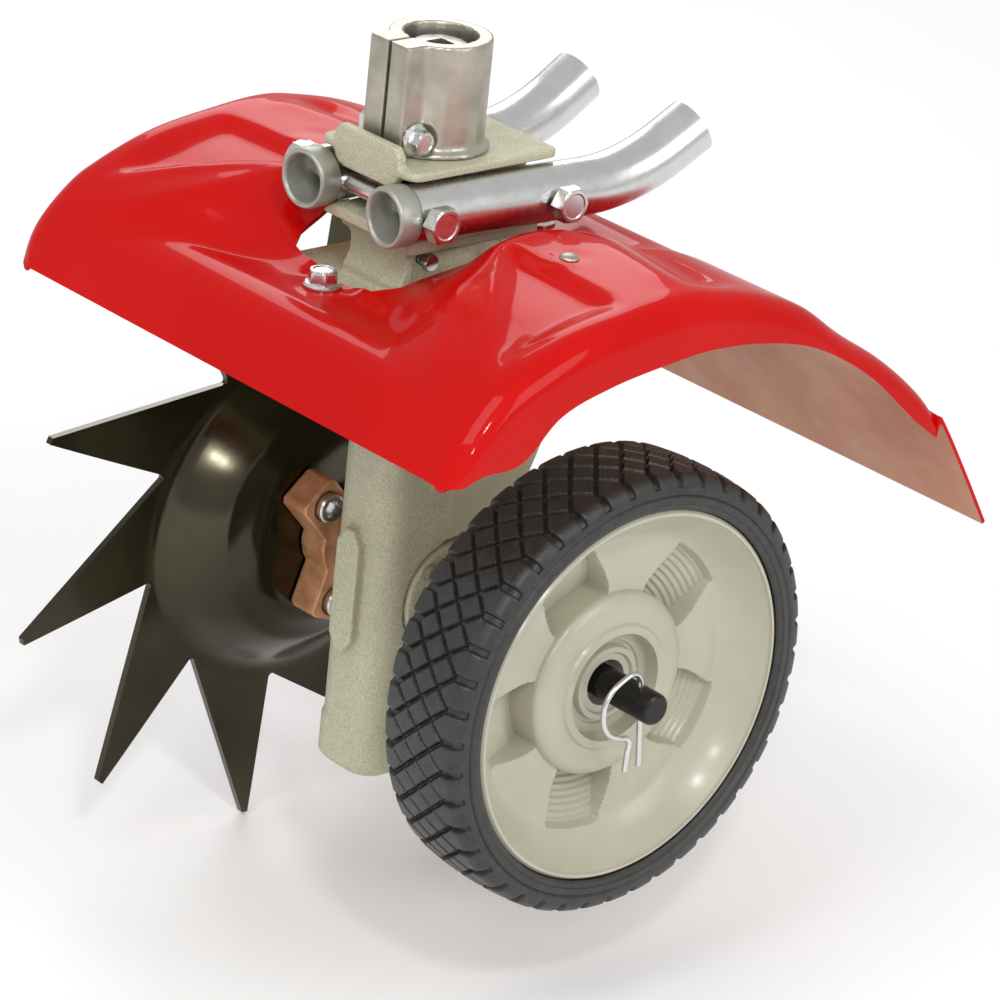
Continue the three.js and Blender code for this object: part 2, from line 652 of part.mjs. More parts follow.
add("gear_housing", gearHousing(), cast);
add("fender", fender(), redPaint);
FENDER_BOLT_Y.forEach((y, i) => {
  const seat = fenderSeat(0, y) + GAP;
  add(`fender_bolt_${["front", "rear"][i]}`, flangeBolt("z", seat, [0, y], 7.35, 10, 2.4, 115, 6.4), zinc);
});
const rivetSeat = fenderSeat(...RIVET_AT) + GAP;
const rivetFoot = rivetSeat - FENDER_STEEL - 2 * GAP;
add("fender_rivet", join(
  rod("z", 3.75, rivetSeat, rivetSeat + 1.4, RIVET_AT, 18),
  rod("z", 2.3, rivetFoot - 1, rivetSeat + 0.1, RIVET_AT, 14),
  rod("z", 3.4, rivetFoot - 1.2, rivetFoot, RIVET_AT, 14),
), zinc);

// ---- axle with the worm wheel ----
const flatZ = AXLE_R - FLAT_DEPTH;
const PIN_LEAN = Math.atan2(2.9, 27); // the hairpin leans this far from vertical, about +X

function leaning(geometry, pin) {
  return solid(geometry.rotateX(PIN_LEAN).scale(1, 1, pin.up).translate(pin.x, AXLE_Y, 0));
}

function pinHole(pin) {
  const g = new THREE.CylinderGeometry(PIN_R + 0.4, PIN_R + 0.4, 30, 10);
  return leaning(g.rotateX(Math.PI / 2), pin);
}

function axleShaft() {
  const shaft = turned("x", [
    [0, AXLE_LEFT], [AXLE_R - 1.2, AXLE_LEFT], [AXLE_R, AXLE_LEFT + 1.2],
    [AXLE_R, AXLE_RIGHT - 1.4], [AXLE_R - 1.4, AXLE_RIGHT], [0, AXLE_RIGHT],
  ], onAxle, 20);
  const flat = block(AXLE_LEFT - 1, -30, AXLE_Y - 10, AXLE_Y + 10, flatZ, 20);
  return cut(shaft, flat, pinHole(LEFT_PIN), pinHole(RIGHT_PIN));
}

// Teeth cut along the worm's lead angle; a tooth space faces the worm.
function wormWheel() {
  const pitchR = (TEETH * MODULE) / 2;
  const step = (2 * Math.PI) / TEETH;
  const layers = 2;
  const halfWidth = 4;
  const halfAngle = (r) => (PITCH / 4 - (r - pitchR) * FLANK_SLOPE) / r;
  const rootR = pitchR - 1.4 * MODULE;
  const tipR = pitchR + 0.85 * MODULE;
  const tooth = [
    [-halfAngle(rootR), rootR], [-halfAngle(tipR), tipR], [halfAngle(tipR), tipR], [halfAngle(rootR), rootR],
  ];
  const position = [];
  for (let i = 0; i <= layers; i++) {
    const x = -halfWidth + (2 * halfWidth * i) / layers;
    for (let t = 0; t < TEETH; t++) {
      for (const [offset, r] of tooth) {
        const a = Math.PI + step * (t + 0.5) + offset + (x * LEAD_SLOPE) / pitchR;
        position.push(x, AXLE_Y + r * Math.cos(a), r * Math.sin(a));
      }
    }
  }
  const round = 4 * TEETH;
  const index = [];
  for (let i = 0; i < layers; i++) {
    for (let k = 0; k < round; k++) {
      const a = i * round + k;
      const b = i * round + ((k + 1) % round);
      index.push(a, b, b + round, a, b + round, a + round);
    }
  }
  const centre = position.length / 3;
  position.push(-halfWidth, AXLE_Y, 0, halfWidth, AXLE_Y, 0);
  for (let k = 0; k < round; k++) {
    const next = (k + 1) % round;
    index.push(centre, next, k, centre + 1, layers * round + k, layers * round + next);
  }
  return cut(solid(indexed(position, index)), rod("x", AXLE_R + GAP, -20, 20, onAxle));
}

// Centre line of the clip's wire in Y and Z about the axle's centre: the straight leg, the bow, the wavy leg.
const HAIRPIN = [
  [0, -27], [0, -18], [0, -8], [0, 0], [0, 6], [-0.6, 10], [-3, 12.6], [-8, 12], [-16, 7.2], [-18.4, 0],
  [-16.4, -7.5], [-11, -11.6], [-5.4, -14.6], [-6, -20], [-7, -27],
];

function hairpin(pin) {
  const points = HAIRPIN.map(([y, z]) => new THREE.Vector3(0, y, z));
  const curve = new THREE.CatmullRomCurve3(points, false, "centripetal");
  const shape = new THREE.Shape();
  shape.absarc(0, 0, PIN_R, 0, 2 * Math.PI);
  const g = new THREE.ExtrudeGeometry(shape, {
    steps: 24,
    extrudePath: curve,
    curveSegments: 3,
    bevelEnabled: false,
  });
  return leaning(g, pin);
}

add("axle_shaft", axleShaft(), blackSteel);
add("worm_wheel", wormWheel(), bronze);
add("left_hairpin", hairpin(LEFT_PIN), zinc);
add("right_hairpin", hairpin(RIGHT_PIN), zinc);

// ---- star blade on its three-eared hub ----
const SPACER_R = 10;
const AXLE_CLEARANCE_R = AXLE_R + GAP;
const SPACER_END = -26 - GAP; // beside the left seal
const HUB_HOLE_R = 4.3;
const EAR_HALF = 9.25;
const EAR_END = 33;

// A ratchet-like star: each tooth has one nearly radial edge and one long slanted edge.
function starOutline() {
  const points = [];
  for (let k = 0; k < BLADE_POINTS; k++) {
    const a = BLADE_ANGLE + (360 / BLADE_POINTS) * k;
    points.push(around(onAxle, BLADE_TIP_R, a - 0.6), around(onAxle, BLADE_TIP_R, a + 0.6));
    points.push(around(onAxle, BLADE_ROOT_R, a + 1), around(onAxle, BLADE_ROOT_R, a + 3.2));
  }
  return points;
}

function dishedCentre() {
  const inner = [[0, -56], [34, -56], [43, -60], [51, -64], [62, -75], [70.5, BLADE_X]];
  const back = inner.map(([r, x]) => [r, x - BLADE_STEEL]);
  return turned("x", [...back, ...inner.reverse()], onAxle, 30);
}

const hubHoles = HUB_ANGLES.map((a) =>
  rod("x", HUB_HOLE_R, -90, 0, around(onAxle, HUB_SCREW_R, a), 16),
);
const driveBore = cut(
  rod("x", AXLE_CLEARANCE_R, -90, 0, onAxle),
  block(-100, 10, 0, 40, flatZ + GAP, 20),
);

function starBlade() {
  const plate = slab(starOutline(), BLADE_X - BLADE_STEEL, BLADE_X);
  const disc = cut(plate, rod("x", 70, -90, -70, onAxle, 30));
  return cut(join(disc, dishedCentre()), rod("x", AXLE_R + 1, -90, 0, onAxle), ...hubHoles);
}

function starHub() {
  const [x0, x1] = HUB_X;
  const ear = [
    [0, EAR_HALF], [EAR_END - 2, EAR_HALF], [EAR_END, EAR_HALF - 2],
    [EAR_END, 2 - EAR_HALF], [EAR_END - 2, -EAR_HALF], [0, -EAR_HALF],
  ];
  const ears = HUB_ANGLES.map((degrees) => {
    const a = radians(degrees);
    const outline = ear.map(([r, t]) => [
      AXLE_Y + r * Math.cos(a) - t * Math.sin(a),
      r * Math.sin(a) + t * Math.cos(a),
    ]);
    return slab(outline, x0, x1);
  });
  const counterbores = HUB_ANGLES.map((a) => rod("x", 6.3, -46.3, -30, around(onAxle, HUB_SCREW_R, a), 20));
  return cut(join(rod("x", 16.5, x0, x1, onAxle), ...ears), driveBore, ...hubHoles, ...counterbores);
}

add("star_blade", starBlade(), oliveSteel);
add("star_hub", starHub(), copper);
HUB_ANGLES.forEach((angle, i) => {
  const at = around(onAxle, HUB_SCREW_R, angle);
  add(`hub_screw_${i + 1}`, socketScrew(-46, at, 5.95, 8, 3.9, 21, 3.67), blackSteel);
  const nut = hexHead("x", 12.7, -66, -56 - BLADE_STEEL - GAP, at);
  add(`hub_nut_${i + 1}`, cut(nut, rod("x", 4.2, -90, 0, at, 16)), zinc);
});
add("blade_spacer", ring("x", AXLE_CLEARANCE_R, SPACER_R, HUB_X[1] + GAP, SPACER_END, onAxle), steel);
add("blade_washer", ring("x", AXLE_CLEARANCE_R, 12, -62, -60, onAxle), zinc);

// ---- guide wheel: a moulded rim with five spokes and a solid tyre, loose on the axle ----
const HUB_BORE_R = AXLE_R + 0.4;
const HUB_BOSS_X = [84, 112];
const SPOKES = 5;
const SPOKE_ANGLE = 81;

function wheelRim() {
  const [left, right] = [WHEEL_X[0] + 1, WHEEL_X[1] - 1.4];
  const half = [
    [HUB_BORE_R, HUB_BOSS_X[0]], [19, HUB_BOSS_X[0]], [20, 93], [60, 93], [68, left], [RIM_R, left],
    [RIM_R, right], [70, right], [62, 99], [24, 99], [20, 106], [19, HUB_BOSS_X[1]],
    [HUB_BORE_R, HUB_BOSS_X[1]], [HUB_BORE_R, HUB_BOSS_X[0]],
  ];
  const spokes = Array.from({ length: SPOKES }, (_, i) => {
    const g = new THREE.BoxGeometry(10, 46, 26);
    g.translate(101, 42, 0).rotateX(radians(SPOKE_ANGLE + (360 / SPOKES) * i));
    return solid(g.translate(0, AXLE_Y, 0));
  });
  const bore = rod("x", HUB_BORE_R, 60, 130, onAxle, 30);
  return cut(join(turned("x", half, onAxle, 30), ...spokes), bore);
}

function wheelTyre() {
  const [left, right] = WHEEL_X;
  const bead = RIM_R + GAP;
  return turned("x", [
    [bead, left + 1], [80, left], [85.5, left + 1.5], [TYRE_R, left + 8], [TYRE_R, right - 8],
    [85.5, right - 1.5], [80, right], [bead, right - 1], [bead, left + 1],
  ], onAxle, 30);
}

add("wheel_rim", wheelRim(), greyPlastic);
add("wheel_tyre", wheelTyre(), rubber);
const bossEnd = HUB_BOSS_X[0];
add("wheel_spacer", ring("x", AXLE_CLEARANCE_R, SPACER_R, 25 + GAP, bossEnd - 2.4, onAxle), steel);
add("inner_wheel_washer", ring("x", AXLE_CLEARANCE_R, 15, bossEnd - 2, bossEnd - GAP, onAxle), zinc);

export default wheelHoe;
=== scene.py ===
import math

import bmesh
import bpy
from mathutils import Matrix, Vector


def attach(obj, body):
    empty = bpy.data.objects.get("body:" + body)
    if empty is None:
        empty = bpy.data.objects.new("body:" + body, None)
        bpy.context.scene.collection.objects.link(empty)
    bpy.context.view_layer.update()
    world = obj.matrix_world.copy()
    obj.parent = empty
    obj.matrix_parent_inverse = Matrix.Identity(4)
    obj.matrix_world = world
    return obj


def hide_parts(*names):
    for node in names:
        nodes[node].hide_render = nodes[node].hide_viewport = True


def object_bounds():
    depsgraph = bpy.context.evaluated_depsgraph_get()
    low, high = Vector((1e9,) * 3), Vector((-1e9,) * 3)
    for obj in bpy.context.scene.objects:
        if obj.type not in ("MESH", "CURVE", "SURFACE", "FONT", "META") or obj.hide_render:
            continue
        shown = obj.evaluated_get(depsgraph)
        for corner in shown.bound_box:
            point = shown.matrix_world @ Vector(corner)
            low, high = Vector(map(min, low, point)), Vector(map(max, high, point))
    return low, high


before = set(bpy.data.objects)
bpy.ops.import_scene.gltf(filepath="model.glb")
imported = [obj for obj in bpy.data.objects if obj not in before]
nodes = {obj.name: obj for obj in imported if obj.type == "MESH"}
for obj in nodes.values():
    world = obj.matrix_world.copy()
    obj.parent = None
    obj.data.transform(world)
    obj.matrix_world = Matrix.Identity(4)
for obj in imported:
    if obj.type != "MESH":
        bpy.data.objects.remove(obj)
cad_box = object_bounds()

# Millimetres are easier to read for a machine of this size; every mesh is scaled on the way in.
# The frame's origin is the top of the drive housing. Most heights here are taken from the axle.
MM = 0.001
AXLE_Y, AXLE_Z = 18.0, -225.0


def smooth(a, b, t):
    """0 before a and 1 past b, with a soft step between; a may lie past b."""
    u = min(max((t - a) / (b - a), 0.0), 1.0)
    return u * u * (3 - 2 * u)


def spline(table, t):
    """Smooth (Catmull-Rom) interpolation in a table of (t, value) pairs."""
    i = next((k for k in range(1, len(table) - 1) if table[k][0] >= t), len(table) - 1)
    p = [table[min(max(i + k, 0), len(table) - 1)] for k in (-2, -1, 0, 1)]
    (ta, a), (tb, b), (tc, c), (td, d) = p
    u = (t - tb) / (tc - tb)
    slope_b = (c - a) / (tc - ta) * (tc - tb)
    slope_c = (d - b) / (td - tb) * (tc - tb)
    u2, u3 = u * u, u * u * u
    return (b * (2 * u3 - 3 * u2 + 1) + slope_b * (u3 - 2 * u2 + u)
            + c * (3 * u2 - 2 * u3) + slope_c * (u3 - u2))


# ---------------------------------------------------------------- materials
def shader(name, color, roughness, metallic=0.0, **extra):
    mat = bpy.data.materials.new(name)
    mat.use_nodes = True
    bsdf = mat.node_tree.nodes["Principled BSDF"]
    bsdf.inputs["Base Color"].default_value = (*color, 1)
    bsdf.inputs["Roughness"].default_value = roughness
    bsdf.inputs["Metallic"].default_value = metallic
    for key, value in extra.items():
        bsdf.inputs[key.replace("_", " ")].default_value = value
    return mat, mat.node_tree, bsdf


def noise(tree, scale, detail=4.0, roughness=0.55):
    coords = tree.nodes.new("ShaderNodeTexCoord")
    tex = tree.nodes.new("ShaderNodeTexNoise")
    tex.inputs["Scale"].default_value = scale
    tex.inputs["Detail"].default_value = detail
    tex.inputs["Roughness"].default_value = roughness
    tree.links.new(coords.outputs["Object"], tex.inputs["Vector"])
    return tex.outputs["Fac"]


def ramp(tree, source, low, high, a, b):
    node = tree.nodes.new("ShaderNodeValToRGB")
    node.color_ramp.elements[0].position = low
    node.color_ramp.elements[1].position = high
    node.color_ramp.elements[0].color = (*a, 1)
    node.color_ramp.elements[1].color = (*b, 1)
    tree.links.new(source, node.inputs["Fac"])
    return node.outputs["Color"]


def vary(tree, bsdf, source, low, high, a, b):
    tree.links.new(ramp(tree, source, low, high, a, b), bsdf.inputs["Base Color"])


def vary_roughness(tree, bsdf, source, low, high, a, b):
    node = tree.nodes.new("ShaderNodeMapRange")
    node.inputs["From Min"].default_value = low
    node.inputs["From Max"].default_value = high
    node.inputs["To Min"].default_value = a
    node.inputs["To Max"].default_value = b
    tree.links.new(source, node.inputs["Value"])
    tree.links.new(node.outputs["Result"], bsdf.inputs["Roughness"])


def bump(tree, bsdf, source, strength, distance):
    node = tree.nodes.new("ShaderNodeBump")
    node.inputs["Strength"].default_value = strength
    node.inputs["Distance"].default_value = distance
    tree.links.new(source, node.inputs["Height"])
    tree.links.new(node.outputs["Normal"], bsdf.inputs["Normal"])


def cast_metal():
    mat, tree, bsdf = shader("sand_cast_metal", (0.45, 0.43, 0.37), 0.6, 0.35)
    vary(tree, bsdf, noise(tree, 1500, 2), 0.3, 0.75, (0.41, 0.395, 0.285), (0.66, 0.64, 0.47))
    vary_roughness(tree, bsdf, noise(tree, 160), 0.3, 0.7, 0.5, 0.72)
    bump(tree, bsdf, noise(tree, 1400, 3, 0.6), 0.8, 0.0005)
    return mat


def die_cast_metal():
    mat, tree, bsdf = shader("die_cast_metal", (0.44, 0.42, 0.35), 0.35, 0.85)
    vary(tree, bsdf, noise(tree, 60), 0.3, 0.7, (0.34, 0.32, 0.26), (0.53, 0.50, 0.42))
    vary_roughness(tree, bsdf, noise(tree, 220), 0.3, 0.7, 0.26, 0.46)
    bump(tree, bsdf, noise(tree, 420, 2), 0.2, 0.0003)
    return mat


def red_paint():
    mat, tree, bsdf = shader("red_enamel", (0.5, 0.002, 0.002), 0.3, Coat_Weight=0.28, Coat_Roughness=0.05,
                             Specular_IOR_Level=0.02)
    vary(tree, bsdf, noise(tree, 9, 2), 0.35, 0.7, (0.48, 0.002, 0.001), (0.54, 0.004, 0.003))
    bump(tree, bsdf, noise(tree, 170, 2), 0.05, 0.0004)
    return mat


def red_underside():
    mat, tree, bsdf = shader("red_enamel_underside", (0.45, 0.16, 0.11), 0.5)
    vary(tree, bsdf, noise(tree, 22), 0.3, 0.75, (0.50, 0.19, 0.11), (0.66, 0.35, 0.22))
    vary_roughness(tree, bsdf, noise(tree, 60), 0.3, 0.7, 0.4, 0.62)
    return mat


def zinc_plate():
    mat, tree, bsdf = shader("zinc_plate", (0.66, 0.66, 0.64), 0.22, 1.0)
    vary(tree, bsdf, noise(tree, 140), 0.2, 0.8, (0.60, 0.60, 0.585), (0.70, 0.70, 0.69))
    vary_roughness(tree, bsdf, noise(tree, 300), 0.2, 0.8, 0.2, 0.3)
    return mat


def grey_sleeve():
    mat, tree, bsdf = shader("grey_sleeve", (0.35, 0.35, 0.30), 0.38, 0.5)
    vary(tree, bsdf, noise(tree, 120), 0.3, 0.7, (0.30, 0.30, 0.255), (0.40, 0.40, 0.345))
    bump(tree, bsdf, noise(tree, 500), 0.1, 0.0003)
    return mat


def black_steel():
    mat, tree, bsdf = shader("black_oxide", (0.012, 0.010, 0.010), 0.28, 0.4)
    vary_roughness(tree, bsdf, noise(tree, 260), 0.3, 0.7, 0.2, 0.4)
    bump(tree, bsdf, noise(tree, 350), 0.15, 0.0003)
    return mat


def olive_steel():
    mat, tree, bsdf = shader("dark_spring_steel", (0.05, 0.044, 0.028), 0.2, 1.0, Coat_Weight=0.35,
                             Coat_Roughness=0.14)
    vary(tree, bsdf, noise(tree, 18), 0.3, 0.75, (0.026, 0.022, 0.012), (0.066, 0.057, 0.034))
    vary_roughness(tree, bsdf, noise(tree, 90), 0.3, 0.7, 0.15, 0.25)
    bump(tree, bsdf, noise(tree, 700, 2), 0.05, 0.0003)
    return mat


def copper_cast():
    mat, tree, bsdf = shader("copper_casting", (0.48, 0.22, 0.10), 0.45, 0.45)
    vary(tree, bsdf, noise(tree, 110), 0.3, 0.7, (0.44, 0.185, 0.08), (0.72, 0.39, 0.21))
    bump(tree, bsdf, noise(tree, 700, 3), 0.35, 0.0005)
    return mat


def rubber(name, tone, rough):
    mat, tree, bsdf = shader(name, (tone, tone, tone * 0.95), rough)
    low, high = tone * 0.7, tone * 1.5
    vary(tree, bsdf, noise(tree, 240), 0.3, 0.75, (low, low, low * 0.95), (high, high, high * 0.93))
    bump(tree, bsdf, noise(tree, 900, 3), 0.35, 0.0004)
    return mat


def rim_plastic():
    mat, tree, bsdf = shader("rim_plastic", (0.47, 0.45, 0.35), 0.34, Coat_Weight=0.25, Coat_Roughness=0.15)
    vary(tree, bsdf, noise(tree, 40, 2), 0.3, 0.7, (0.41, 0.395, 0.30), (0.46, 0.44, 0.34))
    bump(tree, bsdf, noise(tree, 800, 2), 0.06, 0.0003)
    return mat


def machined(name, color):
    mat, tree, bsdf = shader(name, color, 0.3, 1.0)
    vary_roughness(tree, bsdf, noise(tree, 400), 0.3, 0.7, 0.22, 0.42)
    return mat


CAST, DIE_CAST, RED, RED_UNDER = cast_metal(), die_cast_metal(), red_paint(), red_underside()
ZINC, SLEEVE, BLACK, OLIVE = zinc_plate(), grey_sleeve(), black_steel(), olive_steel()
COPPER, TYRE, RIM = copper_cast(), rubber("tyre_rubber", 0.022, 0.42), rim_plastic()
SEAL = rubber("seal_rubber", 0.02, 0.5)
BRONZE, STEEL = machined("bronze", (0.62, 0.42, 0.18)), machined("ground_steel", (0.6, 0.6, 0.59))


# ---------------------------------------------------------------- mesh helpers
def add_object(name, data):
    obj = bpy.data.objects.new(name, data)
    bpy.context.scene.collection.objects.link(obj)
    return obj


def plain_mesh(name, verts, faces):
    """An object from vertices in millimetres, still without material or body."""
    mesh = bpy.data.meshes.new(name)
    mesh.from_pydata([Vector(v) * MM for v in verts], [], faces)
    return add_object(name, mesh)


def grid_faces(rows, columns, wrap_rows=True, wrap_columns=True):
    """Quads over rows of points; where they wrap, the last joins the first."""
    def at(row, column):
        return row % rows * columns + column % columns
    return [(at(i, j), at(i, j + 1), at(i + 1, j + 1), at(i + 1, j))
            for i in range(rows if wrap_rows else rows - 1)
            for j in range(columns if wrap_columns else columns - 1)]


def prism(name, outline, low, high, place):
    """An outline of (u, v) points drawn out from low to high; place(u, v, w) gives the point."""
    n = len(outline)
    verts = [place(u, v, w) for w in (low, high) for u, v in outline]
    faces = [tuple(range(n))[::-1], tuple(range(n, 2 * n))]
    faces += [(k, (k + 1) % n, n + (k + 1) % n, n + k) for k in range(n)]
    return plain_mesh(name, verts, faces)


def make(name, verts, faces, mats, body, replaced, shade_angle=40):
    """A new piece from vertices in millimetres, riding on a body in place of CAD nodes."""
    obj = plain_mesh(name, verts, faces)
    obj.data.validate()
    return dress(obj, mats, body, replaced, shade_angle)


def shade(mesh, angle):
    mesh.polygons.foreach_set("use_smooth", [True] * len(mesh.polygons))
    mesh.set_sharp_from_angle(angle=math.radians(angle))


def dress(obj, mats, body, replaced, shade_angle=40):
    """Gives a piece its materials, outward faces, shading, body and the CAD nodes it stands for."""
    for mat in mats:
        obj.data.materials.append(mat)
    bm = bmesh.new()
    bm.from_mesh(obj.data)
    bmesh.ops.recalc_face_normals(bm, faces=bm.faces)
    bm.to_mesh(obj.data)
    bm.free()
    shade(obj.data, shade_angle)
    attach(obj, body)
    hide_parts(*replaced)
    return obj


def apply_modifiers(obj):
    graph = bpy.context.evaluated_depsgraph_get()
    made = bpy.data.meshes.new_from_object(obj.evaluated_get(graph))
    obj.modifiers.clear()
    obj.data = made


def about_axle(x, r, degrees):
    a = math.radians(degrees)
    return (x, AXLE_Y + r * math.cos(a), AXLE_Z + r * math.sin(a))


def lathe(name, profile, place, mats, body, replaced, sides=96, closed=True, shade_angle=35):
    """Turns a profile of (radius, height) pairs; place(height, radius, degrees) gives the point."""
    verts = [place(h, r, 360 * k / sides) for k in range(sides) for r, h in profile]
    faces = grid_faces(sides, len(profile), wrap_columns=closed)
    return make(name, verts, faces, mats, body, replaced, shade_angle)


def combine(obj, tool, operation, folded=False):
    """Boolean of obj with tool, which is used up; folded allows for a sheet that touches itself."""
    step = obj.modifiers.new(tool.name, "BOOLEAN")
    step.object = tool
    step.operation = operation
    step.solver = "EXACT"
    step.use_self = folded
    apply_modifiers(obj)
    bpy.data.objects.remove(tool)


def rounded_cast(node, mats, body, voxel, rounds, shape=None):
    """A copy of a CAD solid with its edges melted into casting radii; shape(obj) may carve it first."""
    obj = add_object(node + "_casting", nodes[node].data.copy())
    obj.data.materials.clear()
    if shape:
        shape(obj)
    remesh = obj.modifiers.new("remesh", "REMESH")
    remesh.mode = "VOXEL"
    remesh.voxel_size = voxel * MM
    soften = obj.modifiers.new("soften", "SMOOTH")
    soften.iterations = rounds
    soften.factor = 0.5
    apply_modifiers(obj)
    return dress(obj, mats, body, [node], 60)


# ---------------------------------------------------------------- fender
HALF, STEEL_T = 130.0, 1.6
CORNER, BEND_R = 12.0, 10.0  # round of the front corners, and of the bend down to the side flanges
CORNER_Y = -80  # in front of this Y the sides draw in round the front corners
COLUMN_STEP, COLUMNS = 2.3, 52  # of points from the middle of the sheet to the bend
DISH_DEPTH = 17.0
VALLEY_DEPTH, PANEL_DEPTH, BEAD_HEIGHT, LIP_HEIGHT = 3.5, 4.2, 1.1, 0.8  # of the pressing on each side
FLANGE_END = 157.0  # behind this Y the sheet is a flat apron without side flanges
# Height above the axle at each Y: the arch's ridge, and the lower edge of the side flanges.
ARCH = [(-92, 107.5), (-88, 117.5), (-82, 126.5), (-74, 135), (-63, 143), (-34, 154), (-4, 159),
        (21, 161), (41, 158), (61, 153), (81, 145), (102, 131), (127, 116), (148, 100), (159, 88),
        (176, 63.5), (192, 39)]
EDGE = [(-92, 104), (-80, 111), (-60, 113), (-44, 127), (-22, 134), (4, 138), (28, 140), (54, 138),
        (80, 132), (105, 120), (121, 109), (140, 93), (158, 80)]
FENDER_BOLTS = (("front", -47), ("rear", 58))
RIVET_X, RIVET_Y = 74, 6
# Level spots under the bolts and the rivet: x, y, radius, and the width of the blend round it.
SEATS = [(0, y, 9, 9) for _, y in FENDER_BOLTS] + [(RIVET_X, RIVET_Y, 5, 5)]
# Hole in the fender that the housing's neck comes through, in X and Y.
NECK_OPENING = [(-34, -30), (-30, -36), (-12, -38.5), (18, -38.5), (25, -30), (26, 44), (20, 46), (-26, 46),
                (-40, -4)]
# Half-width of the dish at each Y: where its slope leaves the arch, and where it reaches the floor.
RIM_LINE = [(-92, 124), (-82, 115), (-70, 94), (-51, 74), (-40, 67), (-28, 62), (-17, 56), (-5, 48),
            (11, 47), (24, 51), (38, 57), (60, 64), (80, 74), (192, 84)]
FOOT_LINE = [(-92, 100), (-84, 96), (-71, 66), (-55, 40), (-38, 24), (-10, 25), (20, 27), (40, 30), (60, 36),
             (192, 60)]


def crease(d, width):
    """A step of height 1 whose edges stay crisp: 0 before the crease, 1 once it is passed."""
    u = min(max(d / width, 0.0), 1.0)
    return 1 - (1 - u) ** 2.2


def side_pressing(ax, y):
    """Channel and sunk triangular panel on one side, as a depth below the arch."""
    fade = 1 - smooth(104, 119, ax)
    valley = math.exp(-((y - 56 + 0.24 * (ax - 46)) / 10) ** 2) * smooth(50, 66, ax)
    bead = math.exp(-((y - 33 + 0.26 * (ax - 60)) / 7) ** 2) * smooth(54, 70, ax)
    past_v = (ax - 68) * 0.69 + (y + 22) * 0.72
    back = -3 - 0.05 * (ax - 85)
    panel = crease(past_v, 7) * crease(back - y, 8) * smooth(-74, -34, y)
    lip = math.exp(-((past_v + 3) / 2.5) ** 2) * smooth(60, 68, ax)
    lip *= smooth(-70, -40, y) * smooth(2, -10, y)
    return fade * (VALLEY_DEPTH * valley + PANEL_DEPTH * panel - BEAD_HEIGHT * bead - LIP_HEIGHT * lip)


def sunk(x, y):
    """How far the pressing lies below the plain arch."""
    ax = abs(x)
    along = smooth(-86, -44, y) * (1 - smooth(40, 92, y))
    foot, rim = spline(FOOT_LINE, y), spline(RIM_LINE, y)
    slope = 0.55 * smooth(foot, rim, ax) + 0.45 * min(max((ax - foot) / (rim - foot), 0.0), 1.0) ** 1.4
    return DISH_DEPTH * (1 - slope) * along + side_pressing(ax, y)


def fender_z(x, y):
    """Height of the sheet's top above the axle."""
    z = spline(ARCH, y) - sunk(x, y)
    for sx, sy, half, blend in SEATS:
        away = math.hypot(x - sx, y - sy)
        level = spline(ARCH, sy) - sunk(sx, sy)
        z += (level - z) * (1 - smooth(half, half + blend, away))
    return z


def fender_row(y):
    """Points across the sheet at one Y: the arch from side to side, and a bend and a flange at each end."""
    flange = 1 - smooth(FLANGE_END - 0.5, FLANGE_END + 0.5, y)
    tuck = math.sqrt(max(1 - max(CORNER_Y - y, 0) ** 2 / CORNER ** 2, 0.04))
    side = [(k * COLUMN_STEP, fender_z(k * COLUMN_STEP, y)) for k in range(COLUMNS)]
    start = HALF - BEND_R
    top = fender_z(start, y)
    low = min(spline(EDGE, min(y, EDGE[-1][0])), top)
    low = top + (low - top) * min(1.0, tuck + 0.15)
    for a in (8, 18, 30, 44, 58, 74, 90):
        x = start + BEND_R * math.sin(math.radians(a)) * tuck
        drop = BEND_R * (1 - math.cos(math.radians(a))) * flange
        side.append((x, max(top - drop, low) if flange else top))
    x, rest = side[-1]
    side += [(x, rest + (min(low, rest) - rest) * k / 3 * flange) for k in (1, 2, 3)]
    return [(x, y, z + AXLE_Z) for x, z in [(-x, z) for x, z in reversed(side[1:])] + side]


def weld(mesh, distance):
    """Joins points that fall together where the front corners close."""
    bm = bmesh.new()
    bm.from_mesh(mesh)
    bmesh.ops.remove_doubles(bm, verts=bm.verts, dist=distance * MM)
    bm.to_mesh(mesh)
    bm.free()


def make_fender():
    """The sheet in one piece, thickened downwards, with the neck's opening cut out of it."""
    rows = [-92, -91.4, -90.4, -89, -87.4, -85.5, -83.5, -81.5] + [-80 + 2.5 * k for k in range(95)]
    rows = [r for r in rows if r <= 155] + [156.5, 157.2, 158, 160] + [164 + 4 * k for k in range(8)]
    grid = [fender_row(y) for y in rows]
    faces = grid_faces(len(grid), len(grid[0]), wrap_rows=False, wrap_columns=False)
    obj = plain_mesh("fender_sheet", [p for line in grid for p in line], faces)
    weld(obj.data, 0.05)
    for mat in (RED, RED_UNDER):
        obj.data.materials.append(mat)
    sheet = obj.modifiers.new("steel", "SOLIDIFY")
    sheet.thickness = STEEL_T * MM
    sheet.offset = -1
    sheet.use_even_offset = True
    sheet.material_offset = 1
    cutter = prism("neck_cutter", NECK_OPENING, 100, 190, lambda x, y, z: (x, y, z + AXLE_Z))
    combine(obj, cutter, "DIFFERENCE", folded=True)
    shade(obj.data, 50)
    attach(obj, "housing")
    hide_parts("fender")


make_fender()


# ---------------------------------------------------------------- castings
def bar(name, outline, half):
    """A straight bar along X with an outline of (y, height above the axle) points."""
    return prism(name, outline, -half, half, lambda y, z, x: (x, y, z + AXLE_Z))


